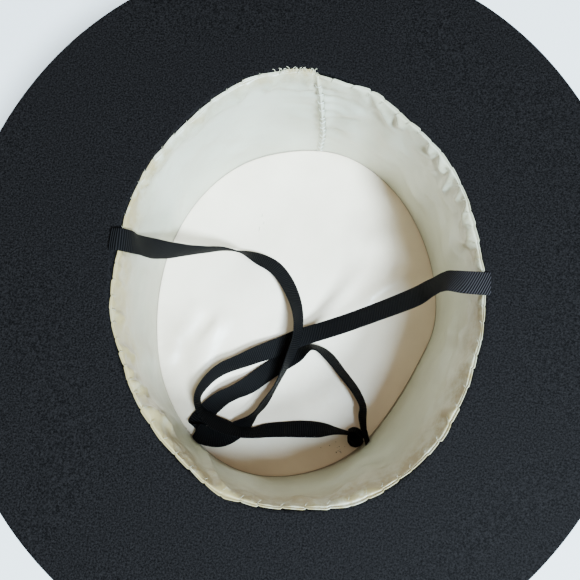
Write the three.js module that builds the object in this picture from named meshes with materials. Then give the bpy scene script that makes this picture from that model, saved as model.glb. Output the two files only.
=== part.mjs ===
// A cordobes hat lying upturned on the flat of its crown, with its opening up. The low crown and
// the flat brim are one piece of felt. The crown is lined with satin, a band round the side and a
// disc on the flat end, and a ribbon chin strap sewn to both sides of the opening lies inside.
// Millimetres. +Z is up, +Y is the back of the hat, where the lining has its seam.

import * as THREE from "three";

const degree = Math.PI / 180;
const { clamp, lerp, smoothstep } = THREE.MathUtils;

// The head opening inside the lining, and the height from the flat of the crown to the brim's
// open face.
const headWidth = 157;
const headLength = 188;
const hatHeight = 86;

// The soft oval is turned one way at the opening and the other way at the flat end, in degrees.
const openingTurn = 7;
const tipTurn = -6.5;

// How far the worn crown stands out of that oval every 20 degrees from +X, at the opening and at
// the flat end, as shares of headWidth.
const sways = [
  { opening: 0.004, tip: 0.009 },
  { opening: -0.002, tip: 0.004 },
  { opening: 0.003, tip: -0.003 },
  { opening: -0.005, tip: -0.001 },
  { opening: -0.001, tip: 0.007 },
  { opening: 0.01, tip: 0.004 },
  { opening: -0.003, tip: 0.016 },
  { opening: -0.014, tip: 0.015 },
  { opening: -0.008, tip: 0.007 },
  { opening: -0.004, tip: -0.003 },
  { opening: 0, tip: -0.006 },
  { opening: -0.006, tip: 0.003 },
  { opening: -0.008, tip: 0.011 },
  { opening: -0.003, tip: 0.016 },
  { opening: -0.008, tip: 0.006 },
  { opening: 0.005, tip: -0.002 },
  { opening: 0.009, tip: -0.022 },
  { opening: 0.003, tip: -0.017 },
];

// The felt, with the brim's width at the sides and at the front and back.
const feltWall = 2.5;
const sideBrimWidth = 68.5;
const endBrimWidth = 62.5;
const crownEdgeRadius = 4;
const brimBendRadius = 4;
const openingEdgeRadius = 1.2;
const brimEdgeRadius = 0.9;

// Facets round the felt and the disc. The side lining has two to each pucker of its hem.
const feltColumns = 60;

// The lining, with the air left between its disc and the felt.
const liningWall = 1;
const liningGap = 0.75;
const discAir = 1.2;
const discGap = 0.4;

// The hem of the side lining laps over the felt's edge and is drawn into small puckers.
const hemStand = 1.1;
const hemLap = 1.4;
const puckers = 72;
const puckerDepth = 0.7;
const puckerReach = 13;

// Slack satin stands off the wall in a few upright folds. at and spread are degrees round the hat,
// depth is a share of the slack and top a share of the height where the fold is deepest.
const slackDepth = 1.8;
const foldSpan = 0.32;
const folds = [
  { at: 89, spread: 2.2, depth: 0.75, top: 0.6 },
  { at: 80, spread: 4, depth: 0.6, top: 0.55 },
  { at: 66, spread: 5, depth: 0.9, top: 0.6 },
  { at: 48, spread: 6, depth: 0.7, top: 0.55 },
  { at: 24, spread: 6, depth: 0.8, top: 0.6 },
  { at: -20, spread: 8, depth: 0.6, top: 0.5 },
  { at: -62, spread: 7, depth: 0.7, top: 0.6 },
  { at: -97, spread: 6, depth: 1, top: 0.5 },
  { at: -128, spread: 5, depth: 0.8, top: 0.55 },
  { at: -150, spread: 6, depth: 0.9, top: 0.5 },
  { at: 152, spread: 9, depth: 0.5, top: 0.5 },
  { at: 120, spread: 7, depth: 0.5, top: 0.6 },
];

// The ribbon of the chin strap. It is drawn narrower where it goes into the knot.
const ribbonWidth = 10;
const ribbonWall = 1;
const knotPinch = 0.5;
const pinchLength = 10;

// The knot that joins the two ribbons: its middle and its size along X, Y and Z.
const knotAt = new THREE.Vector3(43.2, -67.4, 9.6);
const knotSize = new THREE.Vector3(10, 9.6, 9);

// The routes of the two ribbons, from the side of the opening to the knot. across is the way that
// the ribbon's width points, seen from above, in degrees from +X. lean is how far the ribbon is
// turned up about its route, in degrees: it lies flat at 0 and 180 and stands on edge at 90.
const leftRoute = [
  { x: -82.4, y: 6.2, z: 87.9, across: 90, lean: 0 },
  { x: -78.2, y: 6.4, z: 88.8, across: 91, lean: 0 },
  { x: -74.4, y: 7, z: 84, across: 99, lean: 11 },
  { x: -73, y: 8.6, z: 71, across: 120, lean: 46 },
  { x: -71, y: 10.6, z: 58, across: 126, lean: 62 },
  { x: -67.6, y: 12.9, z: 46, across: 122, lean: 69 },
  { x: -61.6, y: 16.7, z: 32, across: 118, lean: 75 },
  { x: -53, y: 20.8, z: 21.8, across: 111, lean: 82 },
  { x: -43.5, y: 24, z: 16, across: 102, lean: 90 },
  { x: -34, y: 24.4, z: 13, across: 88, lean: 107 },
  { x: -24, y: 22.5, z: 11, across: 74, lean: 124 },
  { x: -14.3, y: 19, z: 10, across: 58, lean: 132 },
  { x: -7.4, y: 12.8, z: 10.2, across: 42, lean: 135 },
  { x: -2.5, y: 5.6, z: 10.9, across: 28, lean: 133 },
  { x: 1.1, y: -2.2, z: 13.2, across: 17, lean: 128 },
  { x: 3.1, y: -10.4, z: 15.7, across: 6, lean: 120 },
  { x: 3.4, y: -19, z: 16.6, across: -5, lean: 116 },
  { x: 1.6, y: -28, z: 15.1, across: -14, lean: 113 },
  { x: -0.8, y: -36, z: 12.8, across: -18, lean: 109 },
  { x: -4.4, y: -46, z: 10.6, across: -23, lean: 105 },
  { x: -8.9, y: -55.7, z: 10.4, across: -30, lean: 109 },
  { x: -13.6, y: -62.9, z: 10.2, across: -37, lean: 120 },
  { x: -21.2, y: -71.4, z: 6.7, across: -52, lean: 172 },
  { x: -29.4, y: -77.2, z: 7.4, across: -68, lean: 187 },
  { x: -37.9, y: -77.3, z: 9.8, across: -66, lean: 186 },
  { x: -43.4, y: -74.8, z: 9.5, across: -58, lean: 183 },
  { x: -43.9, y: -72, z: 6.9, across: -42, lean: 180 },
  { x: -40, y: -65.2, z: 6, across: -34, lean: 178 },
  { x: -32.3, y: -56.8, z: 8, across: -48, lean: 152 },
  { x: -25.8, y: -52.4, z: 10.6, across: -54, lean: 98 },
  { x: -18.9, y: -47.5, z: 9.6, across: -50, lean: 56 },
  { x: -10.5, y: -39.3, z: 6.8, across: -46, lean: 14 },
  { x: -2.4, y: -32.4, z: 5.6, across: -52, lean: 0 },
  { x: 5.2, y: -27.4, z: 8.4, across: -58, lean: 38 },
  { x: 12.8, y: -22.1, z: 10.6, across: -84, lean: 72 },
  { x: 21.6, y: -25.4, z: 9.8, across: -122, lean: 54 },
  { x: 31, y: -33.9, z: 9.2, across: -134, lean: 46 },
  { x: 39.6, y: -42.7, z: 9.9, across: -138, lean: 56 },
  { x: 44.1, y: -50, z: 10.5, across: -166, lean: 82 },
  { x: 44.6, y: -55.6, z: 10.4, across: -170, lean: 98 },
  { x: 46, y: -61.9, z: 10.2, across: -158, lean: 104 },
];
const rightRoute = [
  { x: 82.4, y: 9.6, z: 87.9, across: -85, lean: 0 },
  { x: 77.4, y: 9.2, z: 88.2, across: -86, lean: 0 },
  { x: 71.6, y: 9, z: 87.2, across: -92, lean: 3 },
  { x: 66.8, y: 9.8, z: 83, across: -96, lean: 18 },
  { x: 64.3, y: 9.9, z: 77.6, across: -76, lean: 48 },
  { x: 61.2, y: 7.9, z: 70.5, across: -60, lean: 58 },
  { x: 57, y: 5, z: 60.8, across: -62, lean: 38 },
  { x: 49, y: 1.2, z: 48.4, across: -65, lean: 29 },
  { x: 38.2, y: -3.8, z: 36.4, across: -66, lean: 25 },
  { x: 27, y: -8.9, z: 26, across: -67, lean: 20 },
  { x: 15.6, y: -13.6, z: 15.8, across: -67, lean: 14 },
  { x: 5, y: -18.1, z: 9.8, across: -64, lean: 6 },
  { x: -4.6, y: -23.9, z: 8.4, across: -60, lean: -6 },
  { x: -15.4, y: -29.8, z: 9.2, across: -61, lean: -26 },
  { x: -26, y: -35.9, z: 9, across: -59, lean: -44 },
  { x: -34.8, y: -41.2, z: 9.8, across: -51, lean: -54 },
  { x: -41.6, y: -48.8, z: 10.8, across: -34, lean: -66 },
  { x: -44.8, y: -57.3, z: 12.8, across: -4, lean: -78 },
  { x: -42.4, y: -64, z: 12.8, across: 40, lean: -76 },
  { x: -35.6, y: -68.6, z: 12, across: 66, lean: -52 },
  { x: -28, y: -70.8, z: 12.5, across: 76, lean: -48 },
  { x: -20, y: -72.4, z: 13.2, across: 84, lean: -62 },
  { x: -12, y: -71.8, z: 11.4, across: 100, lean: -62 },
  { x: -4.4, y: -69.6, z: 9.1, across: 103, lean: -46 },
  { x: 4.5, y: -67.9, z: 8.7, across: 99, lean: -40 },
  { x: 13.6, y: -66.5, z: 8.2, across: 97, lean: -32 },
  { x: 22, y: -65.6, z: 8.8, across: 96, lean: -40 },
  { x: 30, y: -64.8, z: 10, across: 98, lean: -68 },
  { x: 38.2, y: -65, z: 10.1, across: 84, lean: -72 },
];

// The inner half width of the felt at the opening, and how much longer than wide the oval is there
// and at the brim's edge, on each side.
const crownHalf = headWidth / 2 + liningWall + liningGap;
const crownLonger = (headLength - headWidth) / 2;
const brimLonger = crownLonger + endBrimWidth - sideBrimWidth;
const brimHalf = crownHalf + sideBrimWidth;

const felt = new THREE.MeshStandardMaterial({ color: 0x0b0c10, roughness: 0.95 });
const satin = new THREE.MeshStandardMaterial({ color: 0xe4e6e2, roughness: 0.42 });
const ribbon = new THREE.MeshStandardMaterial({ color: 0x101114, roughness: 0.6 });

const swayRound = new THREE.CatmullRomCurve3(
  sways.map(({ opening, tip }) => new THREE.Vector3(opening, tip, 0)),
  true,
  "catmullrom",
);

// How far the hat's oval reaches at an angle, where its half width is halfWidth.
function ovalReach(halfWidth, height, angle) {
  const out = clamp((halfWidth - crownHalf) / sideBrimWidth, 0, 1);
  const longer = Math.min(halfWidth / crownHalf, 1) * lerp(crownLonger, brimLonger, out);
  const up = clamp(height / hatHeight, 0, 1);
  const turn = lerp(tipTurn, openingTurn, up) * (1 - out) * degree;
  const oval = 1 / Math.hypot(
    Math.cos(angle - turn) / halfWidth,
    Math.sin(angle - turn) / (halfWidth + longer),
  );
  const sway = swayRound.getPoint(THREE.MathUtils.euclideanModulo(angle / (2 * Math.PI), 1));
  const worn = lerp(sway.y, sway.x, up) * headWidth * (1 - out);
  return oval + worn * Math.min(halfWidth / crownHalf, 1);
}

// A piece with an outline turned round the hat's axis and then drawn to the oval. The outline's
// distances from the axis are half widths. inward is how far the piece is pushed in at a place.
function ovalPiece(name, outline, columns, material, inward = () => 0) {
  const geometry = new THREE.LatheGeometry(outline, columns).rotateX(Math.PI / 2);
  const at = geometry.getAttribute("position");
  for (let i = 0; i < at.count; i++) {
    const halfWidth = Math.hypot(at.getX(i), at.getY(i));
    if (halfWidth < 1e-6) continue;
    const angle = Math.atan2(at.getY(i), at.getX(i));
    const reach = ovalReach(halfWidth, at.getZ(i), angle) - inward(angle, at.getZ(i));
    at.setXY(i, reach * Math.cos(angle), reach * Math.sin(angle));
  }
  geometry.computeVertexNormals();
  const piece = new THREE.Mesh(geometry, material);
  piece.name = name;
  return piece;
}

// Adds a straight run to an outline, in equal parts.
function runTo(outline, x, y, parts) {
  const from = outline.currentPoint.clone();
  for (let i = 1; i <= parts; i++) {
    outline.lineTo(lerp(from.x, x, i / parts), lerp(from.y, y, i / parts));
  }
}

// Crown and brim, one wall of felt: up the outside, out under the brim, round its edge, back over
// its open face and down the inside.
function feltBody() {
  const insideRadius = crownEdgeRadius - feltWall;
  const under = hatHeight - feltWall;
  const outline = new THREE.Path();
  outline.moveTo(0, 0);
  runTo(outline, crownHalf + feltWall - crownEdgeRadius, 0, 2);
  outline.absarc(crownHalf + feltWall - crownEdgeRadius, crownEdgeRadius, crownEdgeRadius, -Math.PI / 2, 0);
  runTo(outline, crownHalf + feltWall, under - brimBendRadius, 4);
  outline.absarc(
    crownHalf + feltWall + brimBendRadius,
    under - brimBendRadius,
    brimBendRadius,
    Math.PI,
    Math.PI / 2,
    true,
  );
  runTo(outline, brimHalf - brimEdgeRadius, under, 3);
  outline.absarc(brimHalf - brimEdgeRadius, under + brimEdgeRadius, brimEdgeRadius, -Math.PI / 2, 0);
  outline.absarc(brimHalf - brimEdgeRadius, hatHeight - brimEdgeRadius, brimEdgeRadius, 0, Math.PI / 2);
  runTo(outline, crownHalf + openingEdgeRadius, hatHeight, 3);
  outline.absarc(
    crownHalf + openingEdgeRadius,
    hatHeight - openingEdgeRadius,
    openingEdgeRadius,
    Math.PI / 2,
    Math.PI,
  );
  runTo(outline, crownHalf, feltWall + insideRadius, 4);
  outline.absarc(crownHalf - insideRadius, feltWall + insideRadius, insideRadius, 0, -Math.PI / 2, true);
  runTo(outline, 0, feltWall, 2);
  return ovalPiece("felt_body", outline.getPoints(2), feltColumns, felt);
}

// The height of the lining's foot and of its disc's lower face.
const liningFoot = feltWall + discAir;

// Half the width outside the side lining, which follows the felt's inner wall.
const liningHalf = crownHalf - liningGap;

// How far the side lining stands inward: the hem's puckers and the upright folds.
function liningSlack(angle, height) {
  const hem = smoothstep(height, hatHeight - puckerReach, hatHeight);
  let inward = puckerDepth * hem * (0.5 - 0.5 * Math.cos(puckers * angle));
  for (const { at, spread, depth, top } of folds) {
    const away = Math.atan2(Math.sin(angle - at * degree), Math.cos(angle - at * degree));
    const level = (height / hatHeight - top) / foldSpan;
    inward += slackDepth * depth * Math.exp(-((away / (spread * degree)) ** 2) - level ** 2);
  }
  const sewnDown = smoothstep(height, liningFoot + liningWall, hatHeight / 4);
  const sewnUp = 1 - smoothstep(height, hatHeight * 0.75, hatHeight - openingEdgeRadius);
  const held = sewnDown * Math.max(sewnUp, hem);
  return inward * held;
}

// The side lining: a band of satin from the disc to the hem that laps over the felt's edge.
function liningSide() {
  const shoulder = hatHeight - hemStand * 0.75;
  const top = hatHeight + hemStand;
  const outline = new THREE.Path();
  outline.moveTo(liningHalf, liningFoot);
  runTo(outline, liningHalf, shoulder, 5);
  outline.lineTo(liningHalf + hemLap, hatHeight + hemStand * 0.45);
  outline.lineTo(liningHalf + hemLap, top);
  outline.lineTo(liningHalf - liningWall * 0.6, top);
  outline.lineTo(liningHalf - liningWall, shoulder);
  runTo(outline, liningHalf - liningWall, liningFoot, 5);
  outline.closePath();
  return ovalPiece("lining_side", outline.getPoints(), 2 * puckers, satin, liningSlack);
}

// The disc of satin on the flat end of the crown, sewn round to the foot of the band.
function liningTip() {
  const half = liningHalf - liningWall - discGap;
  const outline = new THREE.Path();
  outline.moveTo(0, liningFoot);
  runTo(outline, half, liningFoot, 2);
  outline.lineTo(half, liningFoot + liningWall);
  runTo(outline, 0, liningFoot + liningWall, 2);
  return ovalPiece("lining_tip", outline.getPoints(), feltColumns, satin);
}

// A flat ribbon laid along a route, with two steps between one row of the route and the next.
function strap(name, rows) {
  const steps = 2 * (rows.length - 1);
  const route = new THREE.CatmullRomCurve3(rows.map(({ x, y, z }) => new THREE.Vector3(x, y, z)));
  const turns = new THREE.CatmullRomCurve3(
    rows.map(({ across, lean }) => new THREE.Vector3(across, lean, 0)),
    false,
    "catmullrom",
  );
  const length = route.getLength();
  const geometry = new THREE.BoxGeometry(ribbonWidth, ribbonWall, 1, 1, 1, steps);
  const at = geometry.getAttribute("position");
  for (let i = 0; i < at.count; i++) {
    const share = at.getZ(i) + 0.5;
    const turn = turns.getPoint(share);
    const along = route.getTangent(share);
    const width = new THREE.Vector3(
      Math.cos(turn.y * degree) * Math.cos(turn.x * degree),
      Math.cos(turn.y * degree) * Math.sin(turn.x * degree),
      Math.sin(turn.y * degree),
    ).projectOnPlane(along).normalize();
    const face = along.clone().cross(width);
    const pinch = lerp(knotPinch, 1, smoothstep((1 - share) * length, 0, pinchLength));
    const point = route.getPoint(share)
      .addScaledVector(width, at.getX(i) * pinch)
      .addScaledVector(face, at.getY(i));
    at.setXYZ(i, point.x, point.y, point.z);
  }
  geometry.computeVertexNormals();
  const piece = new THREE.Mesh(geometry, ribbon);
  piece.name = name;
  return piece;
}

// The knot: a tight lump with a slanting valley between its turns.
function strapKnot() {
  const geometry = new THREE.SphereGeometry(0.5, 14, 10);
  const at = geometry.getAttribute("position");
  for (let i = 0; i < at.count; i++) {
    const slant = at.getX(i) + 0.6 * at.getY(i);
    const valley = 1 - 0.16 * Math.exp(-((slant / 0.12) ** 2));
    at.setXYZ(i, at.getX(i) * valley, at.getY(i) * valley, at.getZ(i) * valley);
  }
  geometry.scale(knotSize.x, knotSize.y, knotSize.z);
  geometry.computeVertexNormals();
  const piece = new THREE.Mesh(geometry, ribbon);
  piece.name = "strap_knot";
  piece.position.copy(knotAt);
  return piece;
}

const hat = new THREE.Group();
hat.name = "cordobes_hat";
hat.add(feltBody(), liningSide(), liningTip());
hat.add(strap("strap_left", leftRoute), strap("strap_right", rightRoute), strapKnot());

export default hat;
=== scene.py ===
import math
import random

import bmesh
import bpy
import numpy as np
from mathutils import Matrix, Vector


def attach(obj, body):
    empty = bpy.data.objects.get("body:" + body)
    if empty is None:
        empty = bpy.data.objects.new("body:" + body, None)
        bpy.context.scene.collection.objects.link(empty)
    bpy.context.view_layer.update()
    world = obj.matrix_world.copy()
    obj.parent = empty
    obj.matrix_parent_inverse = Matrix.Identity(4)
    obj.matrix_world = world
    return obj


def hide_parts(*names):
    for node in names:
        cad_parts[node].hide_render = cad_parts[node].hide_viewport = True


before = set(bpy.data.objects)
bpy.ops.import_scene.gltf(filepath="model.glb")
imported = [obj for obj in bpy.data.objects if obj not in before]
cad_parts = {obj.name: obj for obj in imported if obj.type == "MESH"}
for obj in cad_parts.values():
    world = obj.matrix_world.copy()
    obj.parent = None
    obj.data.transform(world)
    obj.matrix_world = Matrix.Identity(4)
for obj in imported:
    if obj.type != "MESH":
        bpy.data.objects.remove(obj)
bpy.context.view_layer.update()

# The camera looks down into the upturned hat from above its front, with the picture turned a few
# degrees. The hat fills the picture, and the brim runs out of it on both sides.
bpy.ops.object.camera_add(
    location=(0.0037, -0.046, 0.3404),
    rotation=(math.radians(9.3), 0, math.radians(8.1)),
)
camera = bpy.context.object
camera.name = "Camera"
camera.data.lens = 37.24
camera.data.clip_start = 0.01
bpy.context.scene.camera = camera


# The chin strap: two black grosgrain ribbons 10 mm wide, each sewn flat to one side of the opening.
# They hang down the lining, lie in loose folds over its disc, and are tied together in a knot.
ribbon_width = 0.010
ribbon_wall = 0.0007
ribbon_cup = 0.00025
knot_pinch = 0.5
pinch_length = 0.010
# The sewn end of the right ribbon is pulled askew, so its ribs slant there.
drawn_askew = 0.040

# Each row is a point of the route, in metres, the way the ribbon's width points as seen from above,
# and how far the ribbon is turned up on its edge, both in degrees.
left_rows = [
    (-0.0824, 0.0062, 0.0879, 90, 0),
    (-0.0782, 0.0064, 0.0888, 91, 0),
    (-0.0744, 0.0070, 0.0840, 99, 14),
    (-0.0730, 0.0086, 0.0710, 120, 56),
    (-0.0710, 0.0106, 0.0580, 124, 71),
    (-0.0676, 0.0129, 0.0460, 120, 77),
    (-0.0616, 0.0167, 0.0320, 116, 82),
    (-0.0530, 0.0208, 0.0218, 109, 88),
    (-0.0435, 0.0240, 0.0160, 101, 94),
    (-0.0340, 0.0244, 0.0130, 88, 107),
    (-0.0240, 0.0225, 0.0110, 74, 138),
    (-0.0143, 0.0190, 0.0100, 58, 146),
    (-0.0074, 0.0128, 0.0102, 42, 143),
    (-0.0025, 0.0056, 0.0109, 28, 138),
    (0.0011, -0.0022, 0.0132, 17, 128),
    (0.0031, -0.0104, 0.0157, 6, 120),
    (0.0034, -0.0190, 0.0166, -5, 116),
    (0.0016, -0.0280, 0.0151, -14, 113),
    (-0.0008, -0.0360, 0.0128, -18, 104),
    (-0.0044, -0.0460, 0.0110, -23, 98),
    (-0.0089, -0.0557, 0.0106, -30, 107),
    (-0.0136, -0.0629, 0.0108, -37, 106),
    (-0.0212, -0.0714, 0.0082, -52, 158),
    (-0.0294, -0.0772, 0.0074, -68, 187),
    (-0.0379, -0.0773, 0.0098, -66, 186),
    (-0.0434, -0.0748, 0.0095, -58, 183),
    (-0.0439, -0.0720, 0.0069, -42, 180),
    (-0.0400, -0.0652, 0.0062, -34, 168),
    (-0.0323, -0.0568, 0.0084, -48, 148),
    (-0.0258, -0.0524, 0.0094, -52, 140),
    (-0.0189, -0.0475, 0.0084, -50, 160),
    (-0.0105, -0.0393, 0.0068, -46, 184),
    (-0.0024, -0.0324, 0.0058, -52, 190),
    (0.0052, -0.0274, 0.0084, -58, 218),
    (0.0128, -0.0221, 0.0106, -84, 250),
    (0.0216, -0.0254, 0.0098, -122, 238),
    (0.0310, -0.0339, 0.0092, -134, 240),
    (0.0396, -0.0427, 0.0099, -142, 242),
    (0.0441, -0.0500, 0.0105, -168, 244),
    (0.0446, -0.0556, 0.0104, -176, 236),
    (0.0460, -0.0619, 0.0102, -160, 226),
]
right_rows = [
    (0.0824, 0.0096, 0.0879, -85, 0),
    (0.0774, 0.0092, 0.0882, -86, 0),
    (0.0716, 0.0090, 0.0872, -92, 3),
    (0.0668, 0.0098, 0.0830, -96, 18),
    (0.0643, 0.0099, 0.0776, -76, 48),
    (0.0612, 0.0079, 0.0705, -60, 58),
    (0.0570, 0.0050, 0.0608, -62, 38),
    (0.0490, 0.0012, 0.0484, -65, 29),
    (0.0382, -0.0038, 0.0364, -66, 25),
    (0.0270, -0.0089, 0.0260, -67, 20),
    (0.0156, -0.0136, 0.0158, -67, 14),
    (0.0050, -0.0181, 0.0098, -64, 6),
    (-0.0046, -0.0239, 0.0084, -60, -6),
    (-0.0154, -0.0298, 0.0092, -61, -26),
    (-0.0260, -0.0359, 0.0090, -59, -44),
    (-0.0348, -0.0412, 0.0098, -51, -54),
    (-0.0416, -0.0488, 0.0108, -34, -66),
    (-0.0448, -0.0573, 0.0128, -4, -78),
    (-0.0424, -0.0640, 0.0128, 40, -76),
    (-0.0356, -0.0686, 0.0120, 66, -52),
    (-0.0280, -0.0708, 0.0125, 76, -48),
    (-0.0200, -0.0724, 0.0132, 84, -62),
    (-0.0120, -0.0718, 0.0114, 100, -62),
    (-0.0044, -0.0696, 0.0091, 103, -46),
    (0.0045, -0.0679, 0.0087, 99, -40),
    (0.0136, -0.0665, 0.0082, 97, -32),
    (0.0220, -0.0656, 0.0088, 96, -40),
    (0.0300, -0.0648, 0.0100, 98, -68),
    (0.0382, -0.0650, 0.0101, 84, -72),
]


def smooth_through(points, steps, evening):
    """Points on a smooth line through the given ones, with evening 0.25 for unevenly spaced ones."""
    points = [Vector(p) for p in points]
    points = [2 * points[0] - points[1], *points, 2 * points[-1] - points[-2]]
    line = []
    for p0, p1, p2, p3 in zip(points, points[1:], points[2:], points[3:]):
        gap0, gap1, gap2 = (max((b - a).length_squared, 1e-12) ** evening for a, b in
                            ((p0, p1), (p1, p2), (p2, p3)))
        out = ((p1 - p0) / gap0 - (p2 - p0) / (gap0 + gap1) + (p2 - p1) / gap1) * gap1
        back = ((p2 - p1) / gap1 - (p3 - p1) / (gap1 + gap2) + (p3 - p2) / gap2) * gap1
        for i in range(steps):
            t = i / steps
            line.append(
                p1 + out * t
                + (3 * (p2 - p1) - 2 * out - back) * t ** 2
                + (2 * (p1 - p2) + out + back) * t ** 3
            )
    return line + [points[-2]]


def ease(value, low, high):
    """0 up to low and 1 from high on, with a soft rise between them."""
    share = np.clip((value - low) / (high - low), 0, 1)
    return share * share * (3 - 2 * share)


def band_mesh(name, centres, widths, breadths, wall, cup, slant=0, slant_length=1):
    """A flat closed band along centres, with its width's direction and half breadth at each."""
    across = [-1, -0.97, -0.85, -0.5, 0, 0.5, 0.85, 0.97, 1]
    shape = bmesh.new()
    weave = shape.loops.layers.uv.new("weave")
    rings, travelled, places = [], 0, {}
    for i, (centre, width, half) in enumerate(zip(centres, widths, breadths)):
        before, after = centres[max(i - 1, 0)], centres[min(i + 1, len(centres) - 1)]
        along = (after - before).normalized()
        width = (width - along * width.dot(along)).normalized()
        face = along.cross(width)
        travelled += (centre - before).length
        askew = slant * (1 - ease(travelled, slant_length / 2, slant_length))
        ring = []
        for side in (1, -1):
            for u in across[::side]:
                thick = wall / 2 * (0.35 if abs(u) == 1 else 1)
                lift = cup * (0.5 - u * u) + side * thick
                point = shape.verts.new(centre + width * u * half + face * lift)
                places[point] = (u * half, travelled + askew * u * half)
                ring.append(point)
        rings.append(ring)
    for one, two in zip(rings, rings[1:]):
        for a, b, c, d in zip(one, one[1:] + one[:1], two[1:] + two[:1], two):
            shape.faces.new((a, b, c, d))
    shape.faces.new(rings[0])
    shape.faces.new(rings[-1][::-1])
    for face in shape.faces:
        face.smooth = True
        for loop in face.loops:
            loop[weave].uv = places[loop.vert]
    bmesh.ops.recalc_face_normals(shape, faces=shape.faces)
    mesh = bpy.data.meshes.new(name)
    shape.to_mesh(mesh)
    shape.free()
    piece = bpy.data.objects.new(name, mesh)
    bpy.context.collection.objects.link(piece)
    return piece


def ribbon(name, rows, slant=0):
    """A ribbon along its rows, narrowed where it goes into the knot, with its path and length."""
    steps = 10
    centres = smooth_through([row[:3] for row in rows], steps, 0.25)
    turns = smooth_through([(row[3], row[4], 0) for row in rows], steps, 0)
    length = sum((b - a).length for a, b in zip(centres, centres[1:]))
    widths, breadths = [], []
    travelled = 0
    for i, turn in enumerate(turns):
        across, lean = math.radians(turn.x), math.radians(turn.y)
        widths.append(Vector((
            math.cos(lean) * math.cos(across),
            math.cos(lean) * math.sin(across),
            math.sin(lean),
        )))
        travelled += (centres[i] - centres[max(i - 1, 0)]).length
        pinch = knot_pinch + (1 - knot_pinch) * ease(length - travelled, 0, pinch_length)
        breadths.append(ribbon_width / 2 * pinch)
    piece = band_mesh(name, centres, widths, breadths, ribbon_wall, ribbon_cup, slant, drawn_askew)
    # Where it is drawn askew its rib crests are painted paler, as painted highlight of the light that
    # catches them there.
    if slant:
        ring = len(piece.data.vertices) // len(centres)
        gone = np.cumsum([0] + [(b - a).length for a, b in zip(centres, centres[1:])])
        painted_highlight = piece.data.attributes.new("painted_highlight", "FLOAT", "POINT")
        painted_highlight.data.foreach_set("value", np.repeat([1 - ease(g, 0.014, 0.030) for g in gone], ring))
    return piece, centres, length


def new_material(name, colour, roughness):
    material = bpy.data.materials.new(name)
    material.use_nodes = True
    shader = material.node_tree.nodes["Principled BSDF"]
    shader.inputs["Base Color"].default_value = (*colour, 1)
    shader.inputs["Roughness"].default_value = roughness
    return material, shader


def add_node(material, kind, inputs=(), **settings):
    node = material.node_tree.nodes.new(kind)
    for name, value in settings.items():
        setattr(node, name, value)
    for name, value in dict(inputs).items():
        node.inputs[name].default_value = value
    return node


def join(material, start, end):
    material.node_tree.links.new(start, end)


def add_texture(material, kind, place, inputs, **settings):
    """A texture that reads its place on the piece from a socket."""
    texture = add_node(material, kind, inputs, **settings)
    join(material, place, texture.inputs["Vector"])
    return texture


def add_bump(material, shader, height, strength, distance, under=None):
    """A bump of the surface, laid over the one under it."""
    bump = add_node(material, "ShaderNodeBump", {"Strength": strength, "Distance": distance})
    join(material, height, bump.inputs["Height"])
    if under:
        join(material, under.outputs["Normal"], bump.inputs["Normal"])
    join(material, bump.outputs["Normal"], shader.inputs["Normal"])
    return bump


left_ribbon, left_path, left_length = ribbon("chin_strap_left", left_rows)
right_ribbon, right_path, right_length = ribbon("chin_strap_right", right_rows, slant=-0.5)

# Grosgrain: close ribs across the ribbon, dull black, with crests painted paler than the grooves as
# painted highlight, and paler still at the sewn end of the right ribbon.
grosgrain, grosgrain_shader = new_material("grosgrain ribbon", (0.003, 0.003, 0.0035), 0.68)
grosgrain_shader.inputs["Specular IOR Level"].default_value = 0.03
weave_place = add_node(grosgrain, "ShaderNodeUVMap", uv_map="weave").outputs["UV"]
ribs = add_texture(
    grosgrain, "ShaderNodeTexWave", weave_place,
    {"Scale": 300, "Distortion": 0.3, "Detail": 1, "Detail Scale": 2}, bands_direction="Y",
)
yarns = add_texture(grosgrain, "ShaderNodeTexNoise", weave_place, {"Scale": 2600, "Detail": 2})
rib_highlight_tone = add_node(grosgrain, "ShaderNodeMix", {"Factor": 0.5}, data_type="RGBA")
rib_highlight_tone.inputs["A"].default_value = (0.0012, 0.0011, 0.0011, 1)
rib_crest = add_node(grosgrain, "ShaderNodeMapRange", {"From Min": 0.35, "From Max": 1})
join(grosgrain, ribs.outputs["Fac"], rib_crest.inputs["Value"])
join(grosgrain, rib_crest.outputs["Result"], rib_highlight_tone.inputs["Factor"])
# Painted highlight on the rib crests, strongest where the mask marks the sewn end.
painted_highlight_mask = add_node(grosgrain, "ShaderNodeAttribute", attribute_name="painted_highlight")
crest_highlight_tone = add_node(grosgrain, "ShaderNodeMix", data_type="RGBA")
crest_highlight_tone.inputs["A"].default_value = (0.0100, 0.0088, 0.0090, 1)
crest_highlight_tone.inputs["B"].default_value = (0.0350, 0.0300, 0.0320, 1)
join(grosgrain, painted_highlight_mask.outputs["Fac"], crest_highlight_tone.inputs["Factor"])
join(grosgrain, crest_highlight_tone.outputs["Result"], rib_highlight_tone.inputs["B"])
join(grosgrain, rib_highlight_tone.outputs["Result"], grosgrain_shader.inputs["Base Color"])
rib_bump = add_bump(grosgrain, grosgrain_shader, ribs.outputs["Fac"], 0.9, 0.0003)
add_bump(grosgrain, grosgrain_shader, yarns.outputs["Fac"], 0.3, 0.0001, rib_bump)

# The knot that ties the ribbons together: a tight lump with the ribbons wound over it, and the cut
# end of one of them standing out at its right.
knot_centre = Vector((0.0422, -0.0672, 0.0092))
knot_radius = 0.0037
turn_wall = 0.0008
turn_cup = 0.0004
bpy.ops.object.select_all(action="DESELECT")
bpy.ops.mesh.primitive_uv_sphere_add(
    segments=40, ring_count=24, radius=knot_radius, location=knot_centre,
)
knot = bpy.context.object
knot.name = "chin_strap_knot"
bpy.ops.object.transform_apply(location=True)
for vertex in knot.data.vertices:
    out = vertex.co - knot_centre
    groove = math.sin(620 * (out.x + 0.7 * out.y) + 210 * out.z)
    vertex.co = knot_centre + out * (1 + 0.05 * groove)
bpy.ops.object.shade_smooth()


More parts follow.
